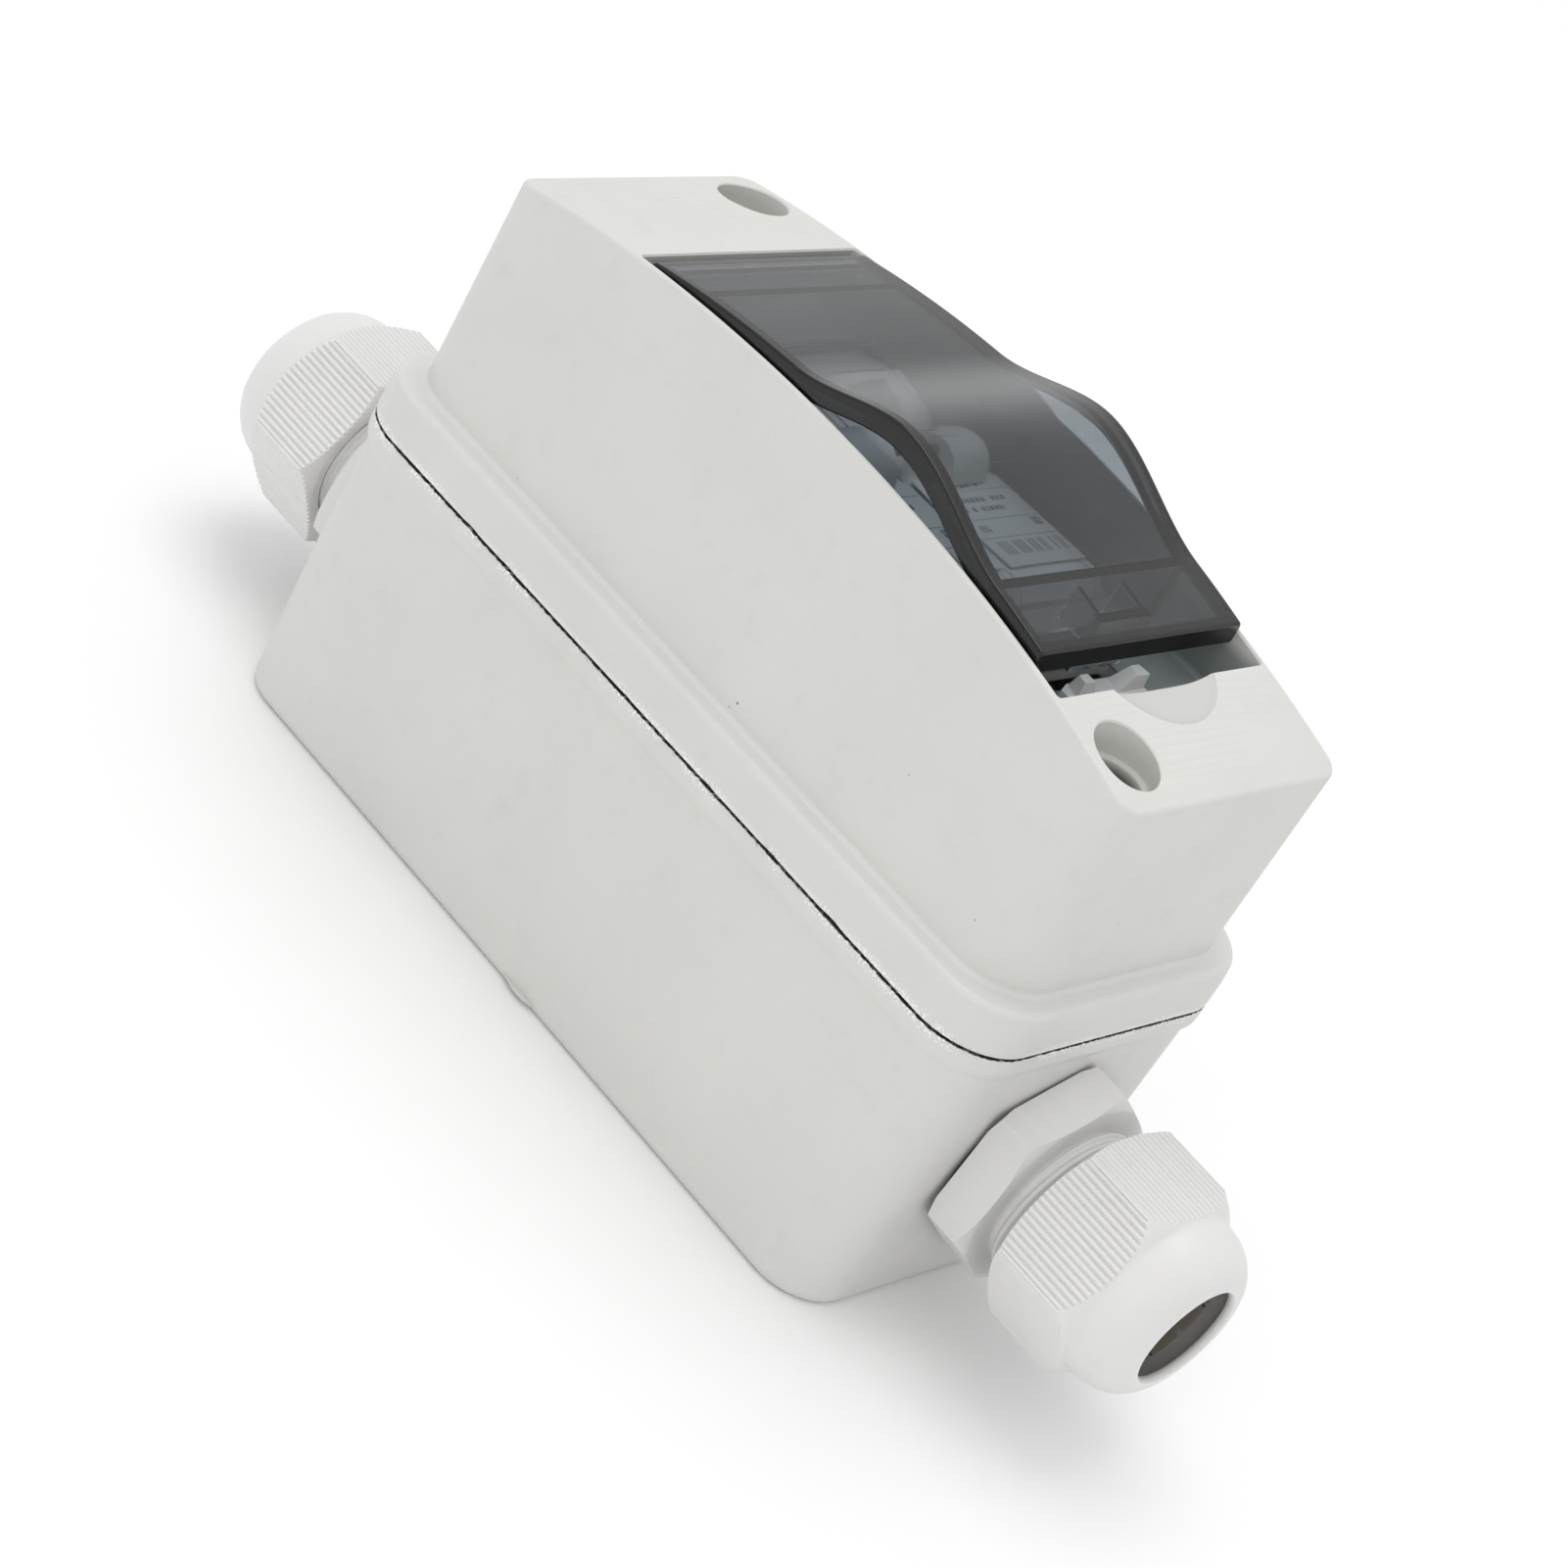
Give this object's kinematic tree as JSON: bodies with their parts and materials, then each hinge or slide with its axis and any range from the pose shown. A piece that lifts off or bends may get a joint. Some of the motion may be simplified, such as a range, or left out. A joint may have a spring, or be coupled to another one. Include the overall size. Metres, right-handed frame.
{
  "type": "dc breaker box",
  "caption": "Weatherproof two-module DC breaker enclosure: deep base, tapered lid with arched smoked hinged window, cable gland at each end.",
  "frame": {"origin": "centre of the flat back face of the base", "axes": "+Z out of the mounting surface towards the window, +Y towards the end with the window's hinge, X across the box"},
  "size_m": [0.06, 0.2046, 0.1032],
  "materials": {
    "shell_plastic": "fine matte moulded ABS, light warm grey",
    "smoked_window": "smoked clear polycarbonate, glossy",
    "gland_plastic": "satin nylon, off-white",
    "light_plastic": "satin plastic, off-white",
    "breaker_plastic": "matte thermoset, light grey",
    "lever_plastic": "satin plastic, light grey",
    "label_paper": "matte printed paper",
    "black_plastic": "matte black plastic",
    "black_rubber": "matte black rubber",
    "brown_rubber": "matte brown-grey rubber",
    "bright_steel": "zinc-plated steel",
    "zinc_steel": "passivated zinc-plated sheet steel",
    "copper": "bare copper"
  },
  "bodies": {
    "base": {"base_case": "shell_plastic", "seam_gasket": "black_rubber", "din_rail": "zinc_steel", "rail_screw_left": "bright_steel", "pole_case_left": "breaker_plastic", "pole_cover_left": "breaker_plastic", "pole_label_left": "label_paper", "arc_chute_left": "zinc_steel", "trip_coil_left": "copper", "terminal_clamp_left_line": "zinc_steel", "terminal_screw_left_line": "bright_steel", "terminal_clamp_left_load": "zinc_steel", "terminal_screw_left_load": "bright_steel", "rail_screw_right": "bright_steel", "pole_case_right": "breaker_plastic", "pole_cover_right": "breaker_plastic", "pole_label_right": "label_paper", "arc_chute_right": "zinc_steel", "trip_coil_right": "copper", "terminal_clamp_right_line": "zinc_steel", "terminal_screw_right_line": "bright_steel", "terminal_clamp_right_load": "zinc_steel", "terminal_screw_right_load": "bright_steel", "lever_pin": "bright_steel", "contact_pin": "bright_steel", "gland_body_lower": "gland_plastic", "gland_gasket_lower": "black_rubber", "gland_locknut_lower": "gland_plastic", "gland_seal_lower": "brown_rubber", "gland_claw_lower": "gland_plastic", "gland_body_upper": "gland_plastic", "gland_gasket_upper": "black_rubber", "gland_locknut_upper": "gland_plastic", "gland_seal_upper": "brown_rubber", "gland_claw_upper": "gland_plastic"},
    "lid": {"lid": "shell_plastic", "window_hinge_pin": "bright_steel", "window_catch": "light_plastic", "window_gasket": "black_rubber"},
    "window": {"window": "smoked_window"},
    "lower_screw_seal": {"screw_seal_lower": "black_rubber"},
    "lower_lid_screw": {"lid_screw_lower": "bright_steel"},
    "upper_screw_seal": {"screw_seal_upper": "black_rubber"},
    "upper_lid_screw": {"lid_screw_upper": "bright_steel"},
    "levers": {"breaker_lever_left": "lever_plastic", "breaker_lever_right": "lever_plastic", "lever_tie_bar": "black_plastic"},
    "left_contact": {"contact_arm_left": "copper"},
    "left_din_clip": {"din_clip_left": "black_plastic"},
    "right_contact": {"contact_arm_right": "copper"},
    "right_din_clip": {"din_clip_right": "black_plastic"},
    "lower_slip_ring": {"gland_slip_ring_lower": "gland_plastic"},
    "lower_gland_nut": {"gland_nut_lower": "gland_plastic"},
    "upper_slip_ring": {"gland_slip_ring_upper": "gland_plastic"},
    "upper_gland_nut": {"gland_nut_upper": "gland_plastic"}
  },
  "joints": [
    {"name": "lid_lift", "type": "slide", "parent": "base", "child": "lid", "axis": [0, 0, 1], "range_m": [0, 0.11]},
    {"name": "window_hinge", "type": "hinge", "parent": "lid", "child": "window", "pos_m": [0, 0.0374, 0.0914], "axis": [-1, 0, 0], "range_deg": [0, 90]},
    {"name": "lower_screw_rise", "type": "slide", "parent": "lid", "child": "lower_screw_seal", "axis": [0, 0, 1], "range_m": [0, 0.016]},
    {"name": "lower_screw_turn", "type": "hinge", "parent": "lower_screw_seal", "child": "lower_lid_screw", "pos_m": [-0.0168, -0.0565, 0.06], "axis": [0, 0, 1], "range_deg": [0, 3210]},
    {"name": "upper_screw_rise", "type": "slide", "parent": "lid", "child": "upper_screw_seal", "axis": [0, 0, 1], "range_m": [0, 0.016]},
    {"name": "upper_screw_turn", "type": "hinge", "parent": "upper_screw_seal", "child": "upper_lid_screw", "pos_m": [0.0168, 0.0565, 0.06], "axis": [0, 0, 1], "range_deg": [0, 3210]},
    {"name": "lever_throw", "type": "hinge", "parent": "base", "child": "levers", "pos_m": [0, 0.008, 0.0755], "axis": [-1, 0, 0], "range_deg": [0, 46]},
    {"name": "left_contact_swing", "type": "hinge", "parent": "base", "child": "left_contact", "pos_m": [0, 0.002, 0.06], "axis": [-1, 0, 0], "range_deg": [0, 21.2]},
    {"name": "right_contact_swing", "type": "hinge", "parent": "base", "child": "right_contact", "pos_m": [0, 0.002, 0.06], "axis": [-1, 0, 0], "range_deg": [0, 21.2]},
    {"name": "left_din_clip_pull", "type": "slide", "parent": "base", "child": "left_din_clip", "axis": [0, -1, 0], "range_m": [0, 0.0035], "stiffness_N_per_m": 400},
    {"name": "right_din_clip_pull", "type": "slide", "parent": "base", "child": "right_din_clip", "axis": [0, -1, 0], "range_m": [0, 0.0035], "stiffness_N_per_m": 400},
    {"name": "lower_nut_travel", "type": "slide", "parent": "base", "child": "lower_slip_ring", "axis": [0, -1, 0], "range_m": [0, 0.0101]},
    {"name": "lower_nut_turn", "type": "hinge", "parent": "lower_slip_ring", "child": "lower_gland_nut", "pos_m": [0, -0.09, 0.025], "axis": [0, -1, 0], "range_deg": [0, 1800]},
    {"name": "upper_nut_travel", "type": "slide", "parent": "base", "child": "upper_slip_ring", "axis": [0, 1, 0], "range_m": [0, 0.0101]},
    {"name": "upper_nut_turn", "type": "hinge", "parent": "upper_slip_ring", "child": "upper_gland_nut", "pos_m": [0, 0.09, 0.025], "axis": [0, 1, 0], "range_deg": [0, 1800]}
  ],
  "couplings": [
    {"joint": "lower_screw_turn", "follows": "lower_screw_rise", "rad_per_m": 3490.7},
    {"joint": "upper_screw_turn", "follows": "upper_screw_rise", "rad_per_m": 3490.7},
    {"joint": "left_contact_swing", "follows": "lever_throw", "ratio": 0.46},
    {"joint": "right_contact_swing", "follows": "lever_throw", "ratio": 0.46},
    {"joint": "lower_nut_travel", "follows": "lower_nut_turn", "m_per_rad": 0.00031831},
    {"joint": "upper_nut_travel", "follows": "upper_nut_turn", "m_per_rad": 0.00031831}
  ]
}
